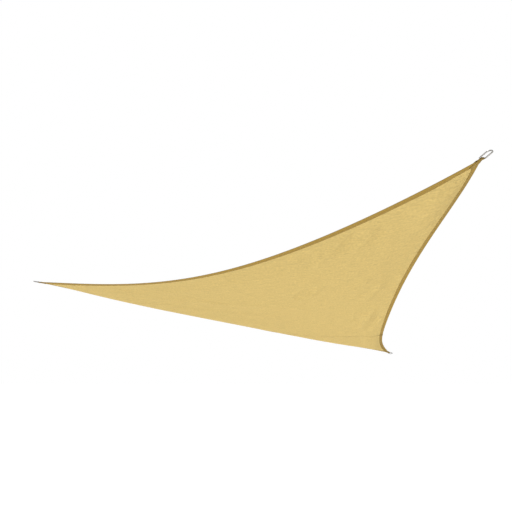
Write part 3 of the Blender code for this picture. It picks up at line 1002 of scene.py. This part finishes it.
# ---- The stitches ----
@made_once("node_groups")
def sewn_rows(name):
    """Geometry nodes that sew stitches along the edges of a mesh of sewing lines, whose
    points carry a "facing" vector out of the cloth."""
    numbers = dict.fromkeys(("Pitch", "Length", "Thread", "Rise"), "Float")
    inputs = {"Lines": "Geometry", **numbers, "Seed": "Int", "Material": "Material"}
    tree, given, result = new_group(name, "GeometryNodeTree", inputs, {"Stitches": "Geometry"})

    def made(kind, inputs, output=0, **settings):
        return add_node(tree, kind, inputs, **settings).outputs[output]

    lines = made("GeometryNodeMeshToCurve", {"Mesh": given["Lines"]})
    pitch = {"Curve": lines, "Length": given["Pitch"]}
    spots = made("GeometryNodeResampleCurve", pitch, mode="LENGTH")
    half = maths(tree, "MULTIPLY", given["Length"], 0.5)
    back = maths(tree, "MULTIPLY", half, -1.0)
    sunk = maths(tree, "MULTIPLY", given["Thread"], -0.5)
    crown = maths(tree, "MULTIPLY", given["Rise"], 2.0)
    bow = {"Resolution": 4}
    for label, x, z in (("Start", back, sunk), ("Middle", 0.0, crown), ("End", half, sunk)):
        bow[label] = made("ShaderNodeCombineXYZ", {"X": x, "Z": z})
    arch = made("GeometryNodeCurveQuadraticBezier", bow)
    radius = maths(tree, "MULTIPLY", given["Thread"], 0.5)
    profile = made("GeometryNodeCurvePrimitiveCircle", {"Resolution": 5, "Radius": radius})
    tube = {"Curve": arch, "Profile Curve": profile, "Fill Caps": True}
    stitch = made("GeometryNodeCurveToMesh", tube)
    tangent = made("GeometryNodeInputTangent", {})
    facing = made("GeometryNodeInputNamedAttribute", {"Name": "facing"}, data_type="FLOAT_VECTOR")
    ahead = made("FunctionNodeAlignRotationToVector", {"Vector": tangent}, axis="X")
    turn = {"Rotation": ahead, "Vector": facing}
    turned = made("FunctionNodeAlignRotationToVector", turn, axis="Z", pivot_axis="X")
    draw = {2: -STITCH_SLANT, 3: STITCH_SLANT, "Seed": given["Seed"]}
    slant = made("FunctionNodeRandomValue", draw, output=1, data_type="FLOAT")
    askew = made("FunctionNodeAxisAngleToRotation", {"Axis": UP, "Angle": slant})
    both = {"Rotation": turned, "Rotate By": askew}
    rotation = made("FunctionNodeRotateRotation", both, rotation_space="LOCAL")
    copies = {"Points": spots, "Instance": stitch, "Rotation": rotation}
    sewn = made("GeometryNodeInstanceOnPoints", copies)
    real = made("GeometryNodeRealizeInstances", {"Geometry": sewn})
    finished = {"Geometry": real, "Material": given["Material"]}
    feed(tree, result, {"Stitches": made("GeometryNodeSetMaterial", finished)})
    return tree


def sew(name, lines, slot, seed, sizes):
    """Stitches along sewing lines, each an array of places and one of facings."""
    grid = bmesh.new()
    facing_layer = grid.verts.layers.float_vector.new("facing")
    for places, facings in lines:
        last = None
        for place, facing in zip(places, facings):
            vert = grid.verts.new(place)
            vert[facing_layer] = facing
            if last:
                grid.edges.new((last, vert))
            last = vert
    carrier = add_object("carrier", as_mesh(grid, name))
    modifier = carrier.modifiers.new("sewing", "NODES")
    modifier.node_group = sewn_rows()
    values = {
        "Pitch": sizes.stitch_pitch,
        "Length": sizes.stitch_length,
        "Thread": sizes.thread,
        "Rise": sizes.thread * STITCH_RISE,
        "Seed": seed,
        "Material": sewing_thread(),
    }
    for item in modifier.node_group.interface.items_tree:
        if item.name in values:
            modifier[item.identifier] = values[item.name]
    made = as_modified(carrier)
    made.shade_smooth()
    add_piece(name, made, sewing_thread(), slot)


def both_faces(place, normal, over, under=None):
    """Sewing lines as far over the cloth's middle surface and under it as given."""
    under = over if under is None else under
    return [(place - normal * under, -normal), (place + normal * over, normal)]


def tape_sewing(edge, sizes):
    """Sewing lines on both faces of a tape."""
    lines = []
    outer = sizes.cloth_thickness / 2 + TAPE_GAP_SEWN + sizes.tape_thickness
    t = tape_stations(edge)
    depth = tape_depth(edge, t, sizes.tape_width)
    reach = edge_frames(edge, t)[3]
    for row in TAPE_ROWS:
        inset = depth - row / reach
        kept = inset * reach > ROW_INSET_LEAST
        here, _, normal, _ = edge_frames(edge, t[kept], inset[kept])
        lift = np.full((len(here), 1), outer)
        if edge is SEAMED:
            on_top = smooth(-ROW_CLIMB, ROW_CLIMB, lap_done(t[kept], sizes))
            lift += (lap_lift(t[kept], sizes) * on_top)[:, None]
        lines += both_faces(here, normal, lift)
    return lines


def seam_sewing(sizes):
    """Two rows along the panel seam and one beside the low corner, on both faces."""
    lines = []
    over = sizes.cloth_thickness / 2
    under = over + sizes.seam_thickness + 2 * SEAM_GAP
    line = seam_line(sizes, SEAM_ROW_INSETS)
    for shift in (-SEAM_ROW_SHIFT, SEAM_ROW_SHIFT):
        place, normal = surface(line + shift * sizes.seam_width * SEAM_ASIDE)
        lines += reversed(both_faces(place, normal, over, under))
    t = np.linspace(*CORNER_ROW_SPAN, CORNER_ROW_POINTS)
    depth = (sizes.tape_width + CORNER_ROW) / edge_frames(SEAMED, t)[3]
    weights = on_edge(SEAMED, t, depth)
    return lines + both_faces(*surface(weights[weights.min(axis=1) > 0]), over)


def tab_sewing(corner, sizes):
    """A box of stitches with a cross in it, on both faces of a tab."""
    lines = []
    half = sizes.webbing_width / 2 - BOX_SIDE
    near, far = BOX_START, sizes.tab_leg - BOX_END
    outer = sizes.wire / 2 + WIRE_GAP + sizes.webbing_thickness
    corners = ((near, -half), (near, half), (far, half), (far, -half))
    runs = [(corners[k], corners[(k + 1) % 4]) for k in range(4)]
    runs += [(corners[0], corners[2]), (corners[1], corners[3])]
    for side in (-1, 1):
        for (start, left), (end, right) in runs:
            places, facings = [], []
            for share in np.linspace(0, 1, BOX_POINTS):
                at = corner_frame(corner, start + (end - start) * share)
                across = left + (right - left) * share
                places.append(at @ Vector((0.0, across, side * outer)))
                facings.append(at.to_3x3() @ Vector((0.0, 0.0, side)))
            lines.append((places, facings))
    return lines


class SAIL_OT_sew_stitches(bpy.types.Operator):
    """Sew the rows of stitches on the tapes, the panel seam and the tabs"""

    bl_idname = "sail.sew_stitches"
    bl_label = "Sew stitches"

    def execute(self, context):
        sizes = context.scene.sail_sizes
        for seed, edge in enumerate(EDGES):
            name = f"stitches_{ORDER[edge.start]}_{ORDER[edge.end]}"
            sew(name, tape_sewing(edge, sizes), "binding", seed, sizes)
        sew("stitches_panel_seam", seam_sewing(sizes), "cloth", 3, sizes)
        for corner, label in enumerate(ORDER):
            sew(f"stitches_tab_{label}", tab_sewing(corner, sizes), "webbing", 4 + corner, sizes)
        return {"FINISHED"}


# ---- The stage ----
CAMERA_AT = (-0.955, -1.908, -0.910)  # from the high corner's tip
SUN_SOFTNESS = math.radians(30)
KEY_AIM = (0.25, -0.10, -1.0)
BOUNCE_AIM = (0.44, -0.12, 1.0)  # as off a bright floor to the left
SOFTBOX_AT = (1.2, 1.0, -2.4)
SOFTBOX_SIZE = 2.0
SAIL_MIDDLE = (-0.9, 1.8, -0.3)
WHITE = (1.0, 1.0, 1.0, 1.0)
PALE = (0.93, 0.93, 0.93, 1.0)
FLOOR_GLOW = 0.6


def add_lamp(name, kind, strength, aim, place=(0.0, 0.0, 0.0), **settings):
    """A lamp whose light travels along aim."""
    data = bpy.data.lights.new(name, kind)
    data.energy = strength
    for setting, value in settings.items():
        setattr(data, setting, value)
    lamp = add_object(name, data)
    lamp.location = place
    lamp.rotation_euler = Vector(aim).to_track_quat("-Z", "Y").to_euler()


def set_lamps(stage):
    add_lamp("soft_key", "SUN", stage.key, KEY_AIM, angle=SUN_SOFTNESS)
    add_lamp("soft_bounce", "SUN", stage.bounce, BOUNCE_AIM, angle=SUN_SOFTNESS)
    aim = Vector(SAIL_MIDDLE) - Vector(SOFTBOX_AT)
    disk = {"shape": "DISK", "size": SOFTBOX_SIZE}
    add_lamp("softbox", "AREA", stage.softbox, aim, SOFTBOX_AT, **disk)


def pale_floor():
    """Pale floor that looks evenly lit, clear from below."""
    material, tree, shader = new_material("pale_floor")
    feed(tree, shader, {"Base Color": PALE, "Roughness": 0.9, "Specular IOR Level": 0.0})
    glow = maths(tree, "MULTIPLY", camera_sees(tree), FLOOR_GLOW)
    feed(tree, shader, {"Emission Strength": glow, "Emission Color": WHITE})
    behind = tree.nodes.new("ShaderNodeNewGeometry").outputs["Backfacing"]
    clear = tree.nodes.new("ShaderNodeBsdfTransparent")
    both = mix_shaders(tree, behind, shader, clear)
    feed(tree, tree.nodes["Material Output"], {"Surface": both})
    return material


def lay_floor(stage):
    grid = bmesh.new()
    bmesh.ops.create_grid(grid, x_segments=1, y_segments=1, size=stage.floor_side / 2)
    bmesh.ops.translate(grid, verts=grid.verts, vec=(0.0, 0.0, -stage.floor_drop))
    floor = add_object("floor", as_mesh(grid, "floor"))
    floor.data.materials.append(pale_floor())
    floor.visible_shadow = False


def light_sky(strength):
    """Even light, and a white backdrop that only the camera sees."""
    world = bpy.data.worlds.new("even_sky")
    world.use_nodes = True
    tree = world.node_tree
    sky = tree.nodes["Background"]
    feed(tree, sky, {"Color": WHITE, "Strength": strength})
    backdrop = add_node(tree, "ShaderNodeBackground", {"Color": WHITE})
    both = mix_shaders(tree, camera_sees(tree), sky, backdrop)
    feed(tree, tree.nodes["World Output"], {"Surface": both})
    bpy.context.scene.world = world


def place_camera(stage):
    data = bpy.data.cameras.new("viewpoint")
    data.lens = stage.lens
    camera = add_object("viewpoint", data)
    camera.location = Vector(CAMERA_AT) - Vector(SEAT)
    camera.rotation_euler = (math.pi / 2 + stage.tilt, 0.0, 0.0)
    bpy.context.scene.camera = camera


class SAIL_OT_set_stage(bpy.types.Operator):
    """Lay the floor and set the light and the camera"""

    bl_idname = "sail.set_stage"
    bl_label = "Set stage"

    def execute(self, context):
        stage = context.scene.sail_stage
        lay_floor(stage)
        light_sky(stage.sky)
        context.scene.view_settings.view_transform = "Standard"
        set_lamps(stage)
        place_camera(stage)
        return {"FINISHED"}


OPERATORS = (
    SAIL_OT_hang_cloth,
    SAIL_OT_lap_seam,
    SAIL_OT_bind_edges,
    SAIL_OT_fold_tabs,
    SAIL_OT_bend_rings,
    SAIL_OT_sew_stitches,
    SAIL_OT_set_stage,
)


class SAIL_PT_pieces(bpy.types.Panel):
    """The sail's sizes and finishes, and the steps that make it"""

    bl_label = "Shade Sail"
    bl_idname = "SAIL_PT_pieces"
    bl_space_type = "VIEW_3D"
    bl_region_type = "UI"
    bl_category = "Shade Sail"

    def draw(self, context):
        for key in GROUPS:
            group = getattr(context.scene, key)
            box = self.layout.box()
            for name in group.__annotations__:
                box.prop(group, name)
        for operator in OPERATORS:
            self.layout.operator(operator.bl_idname)


GROUPS = {"sail_sizes": SailSizes, "sail_finish": SailFinish, "sail_stage": SailStage}


def register():
    for group in GROUPS.values():
        bpy.utils.register_class(group)
    for name, group in GROUPS.items():
        setattr(bpy.types.Scene, name, bpy.props.PointerProperty(type=group))
    for made in (*OPERATORS, SAIL_PT_pieces):
        bpy.utils.register_class(made)


def unregister():
    for made in (SAIL_PT_pieces, *reversed(OPERATORS)):
        bpy.utils.unregister_class(made)
    for name, group in GROUPS.items():
        delattr(bpy.types.Scene, name)
        bpy.utils.unregister_class(group)


def main():
    register()
    bpy.ops.sail.hang_cloth()
    bpy.ops.sail.lap_seam()
    bpy.ops.sail.bind_edges()
    bpy.ops.sail.fold_tabs()
    bpy.ops.sail.bend_rings()
    bpy.ops.sail.sew_stitches()
    bpy.ops.sail.set_stage()


if __name__ == "__main__":
    main()
